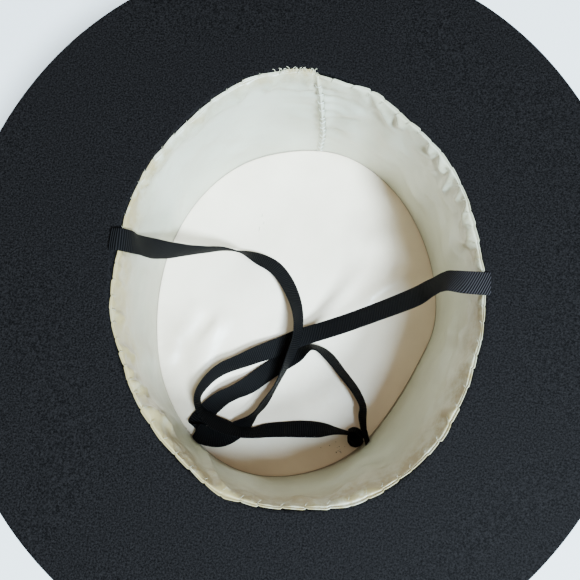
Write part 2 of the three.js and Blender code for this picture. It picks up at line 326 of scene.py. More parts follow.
def knot_band(name, points, breadth, tight=0.78):
    """A turn of ribbon that lies on the knot, its face away from the knot's middle."""
    points = [knot_centre + (Vector(p) - knot_centre) * tight for p in points]
    centres = smooth_through(points, 8, 0.25)
    widths = []
    for i, centre in enumerate(centres):
        along = centres[min(i + 1, len(centres) - 1)] - centres[max(i - 1, 0)]
        widths.append(along.cross(centre - knot_centre).normalized())
    return band_mesh(name, centres, widths, [breadth / 2] * len(centres), turn_wall, turn_cup)


knot_turns = [
    knot_band("over_turn", [
        (0.0366, -0.0640, 0.0100), (0.0388, -0.0622, 0.0118), (0.0418, -0.0620, 0.0130),
        (0.0447, -0.0638, 0.0130), (0.0464, -0.0668, 0.0114), (0.0460, -0.0698, 0.0086),
    ], 0.0042),
    knot_band("front_turn", [
        (0.0388, -0.0652, 0.0070), (0.0380, -0.0682, 0.0092), (0.0392, -0.0704, 0.0114),
        (0.0420, -0.0709, 0.0127), (0.0448, -0.0694, 0.0127), (0.0468, -0.0666, 0.0110),
    ], 0.0046),
    knot_band("waist_turn", [
        (0.0388, -0.0640, 0.0080), (0.0374, -0.0668, 0.0088), (0.0382, -0.0702, 0.0084),
        (0.0412, -0.0718, 0.0080), (0.0444, -0.0710, 0.0080), (0.0464, -0.0686, 0.0080),
    ], 0.0038),
    knot_band("cut_end", [
        (0.0450, -0.0600, 0.0110), (0.0466, -0.0634, 0.0128), (0.0478, -0.0664, 0.0127),
        (0.0489, -0.0688, 0.0112), (0.0497, -0.0704, 0.0094),
    ], 0.0046, 0.96),
]
bpy.ops.object.select_all(action="DESELECT")
for turn in knot_turns:
    turn.select_set(True)
knot.select_set(True)
bpy.context.view_layer.objects.active = knot
bpy.ops.object.join()

for piece, node in ((left_ribbon, "strap_left"), (right_ribbon, "strap_right"), (knot, "strap_knot")):
    piece.data.materials.clear()
    piece.data.materials.append(grosgrain)
    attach(piece, "root")
    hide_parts(node)


# The felt: crown and brim are one piece of stiff black felt 2.5 mm thick, blocked on an oval form.
# The worn crown is no true oval, and is turned a little one way at its flat and the other above.
felt_wall = 0.0025
crown_half = 0.08025
crown_longer = 0.0155
side_brim = 0.0685
brim_longer = 0.0095
hat_height = 0.086
head_width = 0.157
# The flat of the crown ends a little inside its wall, where its rounded edge begins.
flat_half = crown_half - 0.0015
turn_at_flat = math.radians(-6.5)
turn_at_opening = math.radians(7)
# How far the crown stands out of the oval every 20 degrees, as a share of the head's width, at
# the opening and at the flat.
sways = [
    (0.004, 0.009), (-0.002, 0.004), (0.003, -0.003), (-0.005, -0.001), (-0.001, 0.007),
    (0.010, 0.004), (-0.003, 0.016), (-0.014, 0.015), (-0.008, 0.007), (-0.004, -0.003),
    (0.000, -0.006), (-0.006, 0.003), (-0.008, 0.011), (-0.003, 0.016), (-0.008, 0.006),
    (0.005, -0.002), (0.009, -0.022), (0.003, -0.017),
]
sway_steps = 20
sway_line = smooth_through([(*s, 0) for s in sways[-2:] + sways + sways[:3]], sway_steps, 0)
sway_line = np.array([tuple(p)[:2] for p in sway_line])[2 * sway_steps:21 * sway_steps]


def oval_reach(half, height, angle):
    """How far the hat's oval reaches at each angle, where its half width is half."""
    out = np.clip((half - crown_half) / side_brim, 0, 1)
    inside = np.minimum(half / crown_half, 1)
    longer = inside * (crown_longer + (brim_longer - crown_longer) * out)
    up = np.clip(height / hat_height, 0, 1)
    turned = angle - (turn_at_flat + (turn_at_opening - turn_at_flat) * up) * (1 - out)
    oval = 1 / np.hypot(np.cos(turned) / half, np.sin(turned) / (half + longer))
    place = angle / (2 * math.pi) % 1 * len(sways) * sway_steps
    at_opening = np.interp(place, np.arange(len(sway_line)), sway_line[:, 0])
    at_flat = np.interp(place, np.arange(len(sway_line)), sway_line[:, 1])
    worn = (at_flat + (at_opening - at_flat) * up) * head_width * (1 - out)
    return oval + worn * inside


felt_columns = 360
bpy.ops.object.select_all(action="DESELECT")
bpy.ops.mesh.primitive_circle_add(
    vertices=felt_columns, radius=flat_half, fill_type="NGON", location=(0, 0, felt_wall),
)
felt = bpy.context.object
felt.name = "felt_hat"
bpy.ops.object.transform_apply(location=True)
bpy.ops.object.mode_set(mode="EDIT")
bpy.ops.mesh.select_all(action="SELECT")
for inset in (0.005, 0.012, 0.018, 0.020, 0.014):
    bpy.ops.mesh.inset(thickness=inset)
bpy.ops.mesh.poke()
bpy.ops.mesh.select_mode(type="EDGE")
bpy.ops.mesh.select_all(action="DESELECT")
shape = bmesh.from_edit_mesh(felt.data)
for edge in shape.edges:
    edge.select = edge.is_boundary
bmesh.update_edit_mesh(felt.data)
half, height = flat_half, felt_wall
# Up the crown's wall, over the edge of the opening, and out over the brim's open face.
felt_rings = [
    (0.07932, 0.00261), (0.07981, 0.00294), (0.08014, 0.00343), (crown_half, 0.0040),
    (crown_half, 0.012), (crown_half, 0.024), (crown_half, 0.036), (crown_half, 0.048),
    (crown_half, 0.060), (crown_half, 0.072), (crown_half, 0.081), (crown_half, 0.0842),
    (0.08039, 0.08489), (0.08078, 0.08547), (0.08136, 0.08586), (0.08205, 0.0860),
    (0.084, 0.086), (0.088, 0.086), (0.094, 0.086), (0.101, 0.086), (0.108, 0.086),
    (0.116, 0.086), (0.124, 0.086), (0.132, 0.086), (0.139, 0.086), (0.1445, 0.086),
    (0.1475, 0.086), (0.1487, 0.086),
]
for new_half, new_height in felt_rings:
    bpy.ops.mesh.extrude_edges_move(TRANSFORM_OT_translate={"value": (0, 0, new_height - height)})
    bpy.ops.transform.resize(value=(new_half / half, new_half / half, 1), center_override=(0, 0, 0))
    half, height = new_half, new_height
bpy.ops.mesh.select_all(action="SELECT")
bpy.ops.mesh.normals_make_consistent(inside=False)
bpy.ops.object.mode_set(mode="OBJECT")
if felt.data.polygons[0].normal.z < 0:
    felt.data.flip_normals()

# The round shape is drawn to the oval, and the brim waves a little, as worn felt does.
points = np.empty(len(felt.data.vertices) * 3)
felt.data.vertices.foreach_get("co", points)
points = points.reshape(-1, 3)
halves = np.hypot(points[:, 0], points[:, 1])
angles = np.arctan2(points[:, 1], points[:, 0])
reach = oval_reach(np.maximum(halves, 1e-6), points[:, 2], angles)
out = np.clip((halves - crown_half) / side_brim, 0, 1)
points[:, 0] = reach * np.cos(angles)
points[:, 1] = reach * np.sin(angles)
points[:, 2] += out ** 2 * (0.0009 * np.sin(2 * angles + 0.6) + 0.0006 * np.sin(5 * angles + 2.1))
felt.data.vertices.foreach_set("co", points.ravel())
felt.data.update()

wall = felt.modifiers.new("wall", "SOLIDIFY")
wall.thickness = felt_wall
wall.offset = -1
wall.use_even_offset = True
cut_edge = felt.modifiers.new("cut edge", "BEVEL")
cut_edge.width = 0.0007
cut_edge.segments = 3
cut_edge.limit_method = "ANGLE"
cut_edge.angle_limit = math.radians(50)
for modifier in ("wall", "cut edge"):
    bpy.ops.object.modifier_apply(modifier=modifier)
bpy.ops.object.shade_smooth()

# Black felt with a fine pebbled nap: fibre tips a little paler than their nearly black ground.
felt_finish, felt_shader = new_material("black felt", (0.003, 0.0035, 0.0045), 0.6)
felt_shader.inputs["Specular IOR Level"].default_value = 0.03
felt_shader.inputs["Specular Tint"].default_value = (1, 0.86, 0.86, 1)
felt_place = add_node(felt_finish, "ShaderNodeTexCoord").outputs["Object"]
nap = add_texture(
    felt_finish, "ShaderNodeTexNoise", felt_place, {"Scale": 1350, "Detail": 3, "Roughness": 0.7},
)
nap_tone = add_node(felt_finish, "ShaderNodeValToRGB")
nap_tone.color_ramp.elements[0].position = 0.38
nap_tone.color_ramp.elements[0].color = (0.0012, 0.0011, 0.0011, 1)
nap_tone.color_ramp.elements[1].position = 0.68
nap_tone.color_ramp.elements[1].color = (0.0100, 0.0086, 0.0086, 1)
join(felt_finish, nap.outputs["Fac"], nap_tone.inputs["Fac"])
join(felt_finish, nap_tone.outputs["Color"], felt_shader.inputs["Base Color"])
pebbles = add_texture(
    felt_finish, "ShaderNodeTexVoronoi", felt_place, {"Scale": 1000}, feature="SMOOTH_F1",
)
pebble_bump = add_bump(felt_finish, felt_shader, pebbles.outputs["Distance"], 0.5, 0.0003)
add_bump(felt_finish, felt_shader, nap.outputs["Fac"], 0.7, 0.0004, pebble_bump)
felt.data.materials.append(felt_finish)
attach(felt, "root")
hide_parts("felt_body")


# The side lining: a band of off-white satin inside the crown's wall. Its top is turned over the
# felt's edge and drawn in by the stitches of the hem, and its ends meet in a seam at the back.
lining_half = crown_half - 0.00175
band_half = lining_half - 0.00085
satin_wall = 0.0004
lining_columns = 840
hem_top = 0.087
# The radius that turns degrees into lengths along the band, on the whole and at its seam.
band_radius = 0.088
seam_radius = 0.094
# How softly a dent stops short of the wall.
wall_give = 0.0004
# The hem's stitches are uneven, and go once round from the corner of the raw end at the back.
raw_corner = 92.4
hem_random = random.Random(11)
stitches = [raw_corner]
while stitches[-1] < raw_corner + 360 - 6.5:
    stitches.append(stitches[-1] + hem_random.uniform(4.0, 5.9))
stitches[-1] = raw_corner + 360 - 4.6
hem_spans = list(zip(stitches, stitches[1:] + [raw_corner + 360]))
hem_puffs = [(hem_random.uniform(0.15, 1.1), hem_random.uniform(0.7, 1.5), hem_random.uniform(0, 1))
             for _ in stitches]
# How strongly the hem is gathered round the hat: angle, inward swell and how far down it runs.
gathers = [
    (-180, 0.0008, 0.0055), (-165, 0.0009, 0.0060), (-150, 0.0012, 0.0080), (-125, 0.0012, 0.0080),
    (-105, 0.0009, 0.0060), (-80, 0.0007, 0.0050), (-50, 0.0006, 0.0045), (-10, 0.0006, 0.0045),
    (15, 0.0008, 0.0060), (35, 0.0011, 0.0075), (60, 0.0012, 0.0085), (84, 0.0007, 0.0060),
    (100, 0.0008, 0.0055), (120, 0.0009, 0.0055), (140, 0.0009, 0.0050), (165, 0.0008, 0.0050),
    (180, 0.0008, 0.0055),
]
# The line of the seam at the back: angle at each height, from the disc up to the hem.
seam_line = [(0.004, 88.7), (0.028, 88.2), (0.054, 89.0), (0.076, 90.7), (0.087, 92.2)]
seam_stitch = 0.0062
# The hem's lower edge at the left of the back, where the satin is double: angle and height.
hem_fold = [
    (93, 0.0760), (97, 0.0735), (103, 0.0770), (110, 0.0790), (118, 0.0762), (126, 0.0785),
    (135, 0.0800), (143, 0.0788), (152, 0.0812), (160, 0.0830), (166, 0.0850),
]
# Loose upright folds of the band: angle, spread, depth, and height where the fold is deepest.
slack_folds = [
    (89, 2.2, 0.75, 0.6), (80, 4, 0.6, 0.55), (66, 5, 0.9, 0.6), (48, 6, 0.7, 0.55),
    (24, 6, 0.8, 0.6), (-20, 8, 0.6, 0.5), (-62, 7, 0.7, 0.6), (-97, 6, 1, 0.5),
    (-128, 5, 0.8, 0.55), (-150, 6, 0.9, 0.5), (152, 9, 0.5, 0.5), (120, 7, 0.5, 0.6),
]
slack_depth = 0.0026
# Creases: angle and height of each end, half width and height of the crease.
crease_strength = 1.5
creases = [
    (75.4, 0.086, 66.6, 0.074, 0.0022, 0.0012), (67.3, 0.087, 64.0, 0.080, 0.0015, 0.0010),
    (60.0, 0.071, 51.5, 0.079, 0.0025, 0.0011), (54.5, 0.086, 52.0, 0.081, 0.0014, 0.0009),
    (49.0, 0.087, 45.0, 0.080, 0.0018, 0.0015), (43.0, 0.087, 41.6, 0.073, 0.0022, 0.0013),
    (37.0, 0.086, 36.0, 0.079, 0.0016, 0.0009), (32.0, 0.087, 27.5, 0.079, 0.0020, 0.0010),
    (19.5, 0.086, 21.5, 0.076, 0.0024, 0.0008), (88.2, 0.057, 76.0, 0.071, 0.0038, 0.0014),
    (88.6, 0.050, 78.0, 0.060, 0.0011, -0.0006), (88.0, 0.041, 80.0, 0.046, 0.0030, 0.0009),
    (87.6, 0.030, 83.0, 0.029, 0.0022, 0.0009), (88.2, 0.068, 80.0, 0.076, 0.0013, -0.0005),
    (92.0, 0.058, 102.0, 0.062, 0.0014, -0.0006), (92.0, 0.046, 100.0, 0.050, 0.0040, 0.0006),
    (-150.6, 0.084, -147.5, 0.071, 0.0026, 0.0013), (-139.0, 0.086, -136.5, 0.070, 0.0026, 0.0013),
    (-130.0, 0.087, -122.4, 0.064, 0.0028, 0.0014), (-115.0, 0.026, -105.0, 0.074, 0.0030, 0.0020),
    (-105.0, 0.074, -100.0, 0.086, 0.0024, 0.0018), (-112.4, 0.030, -102.6, 0.074, 0.0012, -0.0008),
    (-83.0, 0.074, -78.0, 0.080, 0.0040, 0.0014), (-72.0, 0.078, -66.0, 0.072, 0.0030, 0.0009),
    (-4.7, 0.040, -10.3, 0.078, 0.0050, 0.0009), (10.0, 0.066, 4.0, 0.030, 0.0030, -0.0008),
    (-162.0, 0.086, -159.0, 0.074, 0.0020, 0.0009), (-172.0, 0.086, -170.5, 0.076, 0.0018, 0.0007),
    (112.0, 0.085, 116.0, 0.076, 0.0020, 0.0010), (104.0, 0.084, 107.0, 0.075, 0.0022, 0.0011),
    (127.0, 0.085, 131.0, 0.077, 0.0018, 0.0006), (147.0, 0.084, 150.0, 0.074, 0.0020, 0.0006),
]
# How far the hem strays from the oval, out over the brim or in from it: angle and distance.
hem_strays = [
    (-180, -0.0018), (-172, -0.0011), (-164, -0.0003), (-158, -0.0003), (-150, -0.0010), (-143, -0.0009),
    (-136, -0.0001), (-124, -0.0001), (-110, -0.0004), (-104, 0.0006), (-100, 0.0010), (-95, 0.0003),
    (-84, -0.0002), (-76, 0.0003), (-70, 0.0012), (-66, 0.0012), (-60, 0.0006), (-54, 0.0001),
    (-44, 0.0004), (-38, 0.0008), (-32, 0.0002), (0, 0), (48, 0.0002), (60, -0.0001), (64, -0.0006),
    (68, -0.0003), (75, 0.0008), (80, 0), (84, -0.0012), (91.5, -0.0013), (92.6, -0.0004), (97, -0.0003),
    (102, -0.0006), (108, 0.0006), (114, 0.0004), (122, -0.0004), (130, -0.0008), (140, -0.0002),
    (152, 0), (160, -0.0004), (168, -0.0009), (174, -0.0015), (180, -0.0018),
]
# Soft chance bumps in three sizes, each on a net of cells round the band.
crumple_random = np.random.default_rng(4)
crumple_nets = [
    (cell, crumple_random.uniform(-1, 1, (rows, columns)))
    for cell, rows, columns in ((0.0120, 10, 42), (0.0052, 20, 96), (0.0026, 38, 190))
]


def nearest_turn(angle):
    return (angle + 180) % 360 - 180


def beside_run(x, y, run_x, run_y):
    """The share of a straight run from the origin that each point is beside, and how far off it is."""
    share = np.clip((x * run_x + y * run_y) / (run_x ** 2 + run_y ** 2), 0, 1)
    return share, np.hypot(x - share * run_x, y - share * run_y)


def from_table(at, table, column=1):
    """A column of a table, between the rows by their first column."""
    return np.interp(at, [row[0] for row in table], [row[column] for row in table])


def crumple(angle, height, cell, net):
    """The bumps of one net, between -1 and 1."""
    across, up = angle / 360 % 1 * net.shape[1], height / cell
    i, j = up.astype(int), across.astype(int)
    u, v = ease(up - i, 0, 1), ease(across - j, 0, 1)
    i1, j1, j = i + 1, (j + 1) % net.shape[1], j % net.shape[1]
    lower = net[i, j] * (1 - v) + net[i, j1] * v
    return lower * (1 - u) + (net[i1, j] * (1 - v) + net[i1, j1] * v) * u


def crumpled(angle, height):
    """Dents over the whole band, with finer bumps where the hem is gathered."""
    strength = from_table(angle, gathers)
    near_hem = np.exp(-((np.maximum(hem_top - height, 0) / 0.014) ** 2))
    dents, soft_bumps, small_bumps = (crumple(angle, height, cell, net) for cell, net in crumple_nets)
    soft_depth = 0.00028 + (0.0001 + 0.4 * strength) * near_hem
    small_depth = 0.00004 + (0.00008 + 0.28 * strength) * near_hem
    return 0.0007 * dents + soft_depth * soft_bumps + small_depth * small_bumps


def gathered(angle, height):
    """The puffs of satin between each stitch of the hem and the next."""
    strength, run = from_table(angle, gathers), from_table(angle, gathers, 2)
    below = np.maximum(hem_top - height, 0)
    inward = np.zeros_like(angle)
    for (start, end), (size, length, lean) in zip(hem_spans, hem_puffs):
        slide = nearest_turn(angle - start - 120 * below * (lean - 0.5))
        share = np.clip(slide / (end - start), 0, 1)
        puff = np.sin(math.pi * share) ** 1.2 * size
        inward += strength * puff * np.exp(-((below / (run * length)) ** 2))
    return inward


def slack(angle, height):
    """The loose upright folds, and long faint waves, since nothing holds the band to the wall."""
    turn, level = np.radians(angle), height / hat_height
    inward = 0.0003 * np.sin(7 * turn + 5 * level) + 0.00025 * np.sin(11 * turn - 7 * level + 1)
    inward += 0.0002 * np.sin(19 * turn + 9 * level + 2) * np.sin(5 * level + 3 * turn)
    for at, spread, depth, top in slack_folds:
        away, off = nearest_turn(angle - at) / spread, (level - top) / 0.32
        inward += slack_depth * depth * np.exp(-away ** 2 - off ** 2)
    return inward


def creased(angle, height):
    """The sharp creases, each a low ridge that tapers to both of its ends."""
    inward = np.zeros_like(angle)
    for angle1, height1, angle2, height2, width, rise in creases:
        share, apart = beside_run(
            np.radians(nearest_turn(angle - angle1)) * band_radius, height - height1,
            math.radians(angle2 - angle1) * band_radius, height2 - height1,
        )
        taper = 0.35 + 0.65 * np.sin(math.pi * np.clip(share, 0.02, 0.98)) ** 0.6
        inward += crease_strength * rise * taper * np.exp(-((apart / width) ** 2))
    return inward


def doubled(angle, height):
    """The double satin of the hem stands out by its own thickness and ends in a soft step."""
    fold_height = from_table(angle, hem_fold)
    at_fold = np.clip((angle - 92.5) / 1.5, 0, 1) * np.clip((168 - angle) / 8, 0, 1)
    step = 0.0006 / (1 + np.exp((fold_height - height) / 0.0005))
    roll = 0.0005 * np.exp(-(((height - fold_height - 0.0012) / 0.0011) ** 2))
    return at_fold * (step + roll)


def seam_ridge(angle, height):
    """At the seam the left end of the band lies over the right one, drawn in at each stitch."""
    stitch_share = np.abs(np.sin(math.pi * height / seam_stitch))
    beside = np.radians(nearest_turn(angle - from_table(height, seam_line))) * seam_radius
    beside += 0.0005 * (stitch_share - 0.5)
    over = 1 / (1 + np.exp(-beside / 0.00014))
    ridge = over * np.exp(-((beside / 0.0018) ** 2)) * (0.0014 + 0.0009 * stitch_share)
    groove = 0.0007 * np.exp(-(((beside + 0.00045) / 0.00032) ** 2))
    ridge -= groove * np.clip((0.080 - height) / 0.01, 0, 1)
    pucker = np.exp(-np.abs(beside) / 0.007) * 0.0008 * np.sin(2 * math.pi * height / seam_stitch)
    ends = np.clip((height - 0.0045) / 0.004, 0, 1) * np.clip((0.0885 - height) / 0.004, 0, 1)
    return (ridge + pucker * (1 - over * 0.5)) * ends


def lining_swell(angle, height):
    """How far the satin stands inward of the wall, for angles in degrees."""
    inward = gathered(angle, height) + crumpled(angle, height) + slack(angle, height)
    inward += creased(angle, height) + doubled(angle, height)
    # The felt behind lets no dent go outward, and the foot is sewn down close to it.
    inward = (inward + np.hypot(inward, wall_give) - wall_give) / 2
    return inward * ease(height, 0.0047, 0.0217) + seam_ridge(angle, height)


def lip_share(step):
    """1 on the turned edge of the hem, and 0 on the wall."""
    return np.clip((step - 0.0017) / 0.0011, 0, 1)


def hem_stray(angle, height, lip):
    """How far the hem strays: outward it only laps further over the brim."""
    stray = from_table(angle, hem_strays)
    rise = np.clip((height - 0.068) / 0.016, 0, 1)
    return np.maximum(stray, 0) * lip + np.minimum(stray, 0) * rise * rise


hem_flare = 0.0018


def flare_at(height):
    """How far the top of the band leans out over the rounded edge of the felt."""
    return hem_flare * max(0, (height - 0.068) / 0.017) ** 1.7


# The band's outline from its foot up the wall, over the felt's edge and under the turned hem: how
# far out it steps at each height.
band_levels = [0.0040]
band_levels += [0.0048 + 0.0028 * i for i in range(19)]
band_levels += [0.0565 + 0.00135 * i for i in range(20)]
band_outline = [(flare_at(level), level) for level in band_levels]
band_outline += [
    (0.0016, 0.0832), (0.0018, 0.0841), (0.0020, 0.0849), (0.0022, 0.0855), (0.00235, 0.0858),
    (0.0025, 0.08585), (0.0026, 0.0857), (0.00275, 0.0862), (0.0029, 0.0866), (0.0031, 0.0866),
    (0.0033, 0.0863), (0.0033, 0.0858),
]
# The columns stand closer at the seam, where the satin is folded sharply.
columns_to_seam = 588
columns_at_seam = 64
wall_angles = np.concatenate([
    np.linspace(-180, 87.2, columns_to_seam, endpoint=False),
    np.linspace(87.2, 94.0, columns_at_seam, endpoint=False),
    np.linspace(94.0, 180, lining_columns - columns_to_seam - columns_at_seam, endpoint=False),
])
wall_turns = np.radians(wall_angles)
# Between two stitches the turned edge runs nearly straight, a little further out at one end.
scallop, notch = np.zeros(lining_columns), np.zeros(lining_columns)
for (start, end), (size, _, lean) in zip(hem_spans, hem_puffs):
    share = np.clip(nearest_turn(wall_angles - start) / (end - start), 0, 1)
    within = (share > 0) & (share < 1)
    scallop += within * size * (share if lean > 0.5 else 1 - share)
    notch += np.exp(-((nearest_turn(wall_angles - start) / 0.3) ** 2)) * (0.3 + 0.9 * size)
# At the back the raw end of the satin stands out past the hem, up to the step at its corner.
raw = np.clip((wall_angles - 92.6) / 0.6, 0, 1) * np.clip((106 - wall_angles) / 6, 0, 1)
jagged = 0.75 + 0.3 * np.sin(wall_angles * 9.1) * np.sin(wall_angles * 3.7 + 1)
band_points = []
for step, level in band_outline:
    height = np.full(lining_columns, level)
    inward = lining_swell(wall_angles, height)
    lip = lip_share(step)
    reach_out = lip * (0.0005 * (scallop - 0.5) - 0.0003 * notch + 0.0013 * raw * jagged)
    stray = hem_stray(wall_angles, height, lip)
    reach = oval_reach(np.full(lining_columns, band_half), height, wall_turns)
    reach = reach - inward * (1 - lip) + step + reach_out + stray
    lap = 0.3 * np.maximum(stray + reach_out, 0)
    height = height + lip * (0.0002 * (scallop - 0.5) - 0.0002 * notch + lap)
    band_points.append(np.stack([reach * np.cos(wall_turns), reach * np.sin(wall_turns), height], 1))
band_points = np.concatenate(band_points)


def sheet_from_grid(name, points, rows, columns):
    """A cloth made of rows of points, each row running round the hat and closed."""
    faces = []
    for i in range(rows - 1):
        for j in range(columns):
            k = (j + 1) % columns
            faces.append((i * columns + j, i * columns + k, (i + 1) * columns + k, (i + 1) * columns + j))
    mesh = bpy.data.meshes.new(name)
    mesh.from_pydata([tuple(p) for p in points], [], faces)
    piece = bpy.data.objects.new(name, mesh)
    bpy.context.collection.objects.link(piece)
    return piece


def give_thickness(piece):
    bpy.ops.object.select_all(action="DESELECT")
    piece.select_set(True)
    bpy.context.view_layer.objects.active = piece
    cloth_wall = piece.modifiers.new("cloth", "SOLIDIFY")
    cloth_wall.thickness = satin_wall
    cloth_wall.offset = -1
    bpy.ops.object.modifier_apply(modifier="cloth")
    bpy.ops.object.shade_smooth()


side_lining = sheet_from_grid("satin_side", band_points, len(band_outline), lining_columns)
# The marks of sweat and handling, strongest at the hem. At the left and front left they are made stronger
# and run deeper down the band, and there they are partly painted shade of a cast shadow.
stain_and_shade = side_lining.data.attributes.new("stain_and_shade", "FLOAT", "POINT")
stain_angles = np.tile(wall_angles, len(band_outline))
stain_heights = np.repeat([level for _, level in band_outline], lining_columns)
stain_and_shade_round = np.interp(
    stain_angles,
    [-180, -150, -125, -100, -80, -50, -10, 20, 60, 85, 96, 105, 140, 180],
    [1.8, 1.8, 1.5, 1.3, 1.3, 1.2, 1.0, 0.7, 0.35, 0.4, 0.9, 0.7, 0.7, 1.6],
)
stain_and_shade_depth = np.interp(
    stain_angles,
    [-180, -150, -120, -90, -60, 0, 40, 90, 140, 180],
    [0.018, 0.026, 0.024, 0.017, 0.016, 0.015, 0.011, 0.008, 0.007, 0.018],
)
stain_and_shade_values = stain_and_shade_round * np.exp(-((np.maximum(hem_top - stain_heights, 0) / stain_and_shade_depth) ** 2))
stain_and_shade.data.foreach_set("value", stain_and_shade_values)
# Painted shade: strongest at the left and front left, where a cast shadow falls on the band, and fainter
# at the back right, where the band is in shade.
painted_shade = side_lining.data.attributes.new("painted_shade", "FLOAT", "POINT")
painted_shade_values = np.interp(
    stain_angles, [-180, -170, -135, -100, -80, -30, 10, 60, 150, 172, 180],
    [1, 1, 0.6, 0.1, 0, 0, 0.05, 0.3, 0.05, 0.6, 1],
)
painted_shade.data.foreach_set("value", painted_shade_values)
side_lining.data.flip_normals()
give_thickness(side_lining)


# Satin gone yellow with age, cloudy at random, darker where painted shade is laid on, and brown where it
# is marked, which at the left is partly painted shade as well. The band's satin is a cooler white than
# the disc's.
def satin_cloth(name, clean, marked):
    satin, satin_shader = new_material(name, clean, 0.34)
    satin_shader.inputs["Specular IOR Level"].default_value = 0.5
    place = add_node(satin, "ShaderNodeTexCoord").outputs["Object"]
    blotches, clouds, threads, ripples = (
        add_texture(
            satin, "ShaderNodeTexNoise", place, {"Scale": scale, "Detail": detail, "Roughness": rough},
        )
        for scale, detail, rough in ((110, 8, 0.7), (30, 3, 0.5), (1500, 2, 0.5), (150, 3, 0.5))
    )
    # Stain marks, which at the left are partly painted shade.
    stain_and_shade_mask = add_node(satin, "ShaderNodeAttribute", attribute_name="stain_and_shade")
    stain_break = add_node(
        satin, "ShaderNodeMapRange", {"From Min": 0.38, "From Max": 0.62, "To Min": 0.4, "To Max": 1.2},
    )
    join(satin, blotches.outputs["Fac"], stain_break.inputs["Value"])
    stain_and_shade_amount = add_node(satin, "ShaderNodeMath", operation="MULTIPLY", use_clamp=True)
    join(satin, stain_and_shade_mask.outputs["Fac"], stain_and_shade_amount.inputs[0])
    join(satin, stain_break.outputs["Result"], stain_and_shade_amount.inputs[1])
    uneven = add_node(satin, "ShaderNodeMapRange", {"From Min": 0.35, "From Max": 0.65, "To Max": 0.28})
    join(satin, clouds.outputs["Fac"], uneven.inputs["Value"])
    cloud_and_shade_tone = add_node(satin, "ShaderNodeMix", data_type="RGBA")
    cloud_and_shade_tone.inputs["A"].default_value = (*clean, 1)
    cloud_and_shade_tone.inputs["B"].default_value = (*(0.38 * c + 0.33 * m for c, m in zip(clean, marked)), 1)
    # Painted shade: the mask darkens the satin towards its darker tone, as the clouds do at random.
    painted_shade_mask = add_node(satin, "ShaderNodeAttribute", attribute_name="painted_shade")
    clouds_and_shade = add_node(satin, "ShaderNodeMath", operation="ADD", use_clamp=True)
    join(satin, uneven.outputs["Result"], clouds_and_shade.inputs[0])
    join(satin, painted_shade_mask.outputs["Fac"], clouds_and_shade.inputs[1])
    join(satin, clouds_and_shade.outputs["Value"], cloud_and_shade_tone.inputs["Factor"])
    satin_tone = add_node(satin, "ShaderNodeMix", data_type="RGBA")
    join(satin, cloud_and_shade_tone.outputs["Result"], satin_tone.inputs["A"])
    satin_tone.inputs["B"].default_value = (*marked, 1)
    join(satin, stain_and_shade_amount.outputs["Value"], satin_tone.inputs["Factor"])
    join(satin, satin_tone.outputs["Result"], satin_shader.inputs["Base Color"])
    thread_bump = add_bump(satin, satin_shader, threads.outputs["Fac"], 0.12, 0.0001)
    add_bump(satin, satin_shader, ripples.outputs["Fac"], 0.3, 0.0007, thread_bump)
    return satin


band_satin = satin_cloth("cool white satin", (0.58, 0.575, 0.455), (0.32, 0.24, 0.11))
side_lining.data.materials.append(band_satin)
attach(side_lining, "root")
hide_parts("lining_side")


# The cotton thread of the lining: slanting stitches over the hem's edge, short ones across the
# seam, and frayed ends where the raw satin stands out at the back of the hem.
def cotton_threads(name, lines, thickness, colour):
    sides = 5
    shape = bmesh.new()
    for line in lines:
        centres = smooth_through(line, 4, 0.25)
        rings = []
        for i, centre in enumerate(centres):
            along = centres[min(i + 1, len(centres) - 1)] - centres[max(i - 1, 0)]
            side = along.cross(Vector((0.3, 0.2, 1))).normalized()
            other = along.cross(side).normalized()
            turns = [2 * math.pi * k / sides for k in range(sides)]
            rings.append([
                shape.verts.new(centre + (side * math.cos(t) + other * math.sin(t)) * thickness / 2)
                for t in turns
            ])
        for one, two in zip(rings, rings[1:]):
            for a, b, c, d in zip(one, one[1:] + one[:1], two[1:] + two[:1], two):
                shape.faces.new((a, b, c, d))
        shape.faces.new(rings[0])
        shape.faces.new(rings[-1][::-1])
    bmesh.ops.recalc_face_normals(shape, faces=shape.faces)
    mesh = bpy.data.meshes.new(name)
    shape.to_mesh(mesh)
    shape.free()
    mesh.shade_smooth()
    piece = bpy.data.objects.new(name, mesh)
    bpy.context.collection.objects.link(piece)
    cotton, _ = new_material(name.replace("_", " "), colour, 0.7)
    mesh.materials.append(cotton)
    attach(piece, "root")


def on_band(angle, height, step, lift):
    """A point on the band's satin, lifted off it towards the middle of the hat."""
    at, level = np.array([float(angle)]), np.array([height])
    reach = oval_reach(np.array([band_half]), level, np.radians(at))[0]
    lip = lip_share(step)
    reach += step - lining_swell(at, level)[0] * (1 - lip) - lift + hem_stray(at, level, lip)[0]
    turned = math.radians(angle)
    return Vector((reach * math.cos(turned), reach * math.sin(turned), height))


hem_thread = 0.00026
seam_thread = 0.00030
frayed_thread = 0.00022
hem_lines, seam_lines = [], []
for at in stitches:
    slant = hem_random.uniform(0.5, 1.1)
    hem_lines.append([
        on_band(at + slant * 0.5, 0.0857, 0.0025, 0.0001), on_band(at + slant * 0.2, 0.0864, 0.0028, 0),
        on_band(at, 0.0868, 0.0031, 0), on_band(at - slant * 0.3, 0.0862, 0.0036, 0),
    ])
for i in range(1, 14):
    height = seam_stitch * (i + 0.1)
    at = float(from_table(height, seam_line))
    flare = flare_at(height)
    seam_lines.append([
        on_band(at + 1.5, height - 0.0008, flare, 0.0001), on_band(at + 0.5, height, flare, 0.0003),
        on_band(at - 0.6, height + 0.0008, flare, 0.0002),
    ])
# The hem stitches are coloured dark, as painted shade of the tucks they draw in.
cotton_threads("hem_stitches_painted_shade", hem_lines, hem_thread, (0.30, 0.27, 0.19))
cotton_threads("seam_stitches", seam_lines, seam_thread, (0.80, 0.80, 0.72))

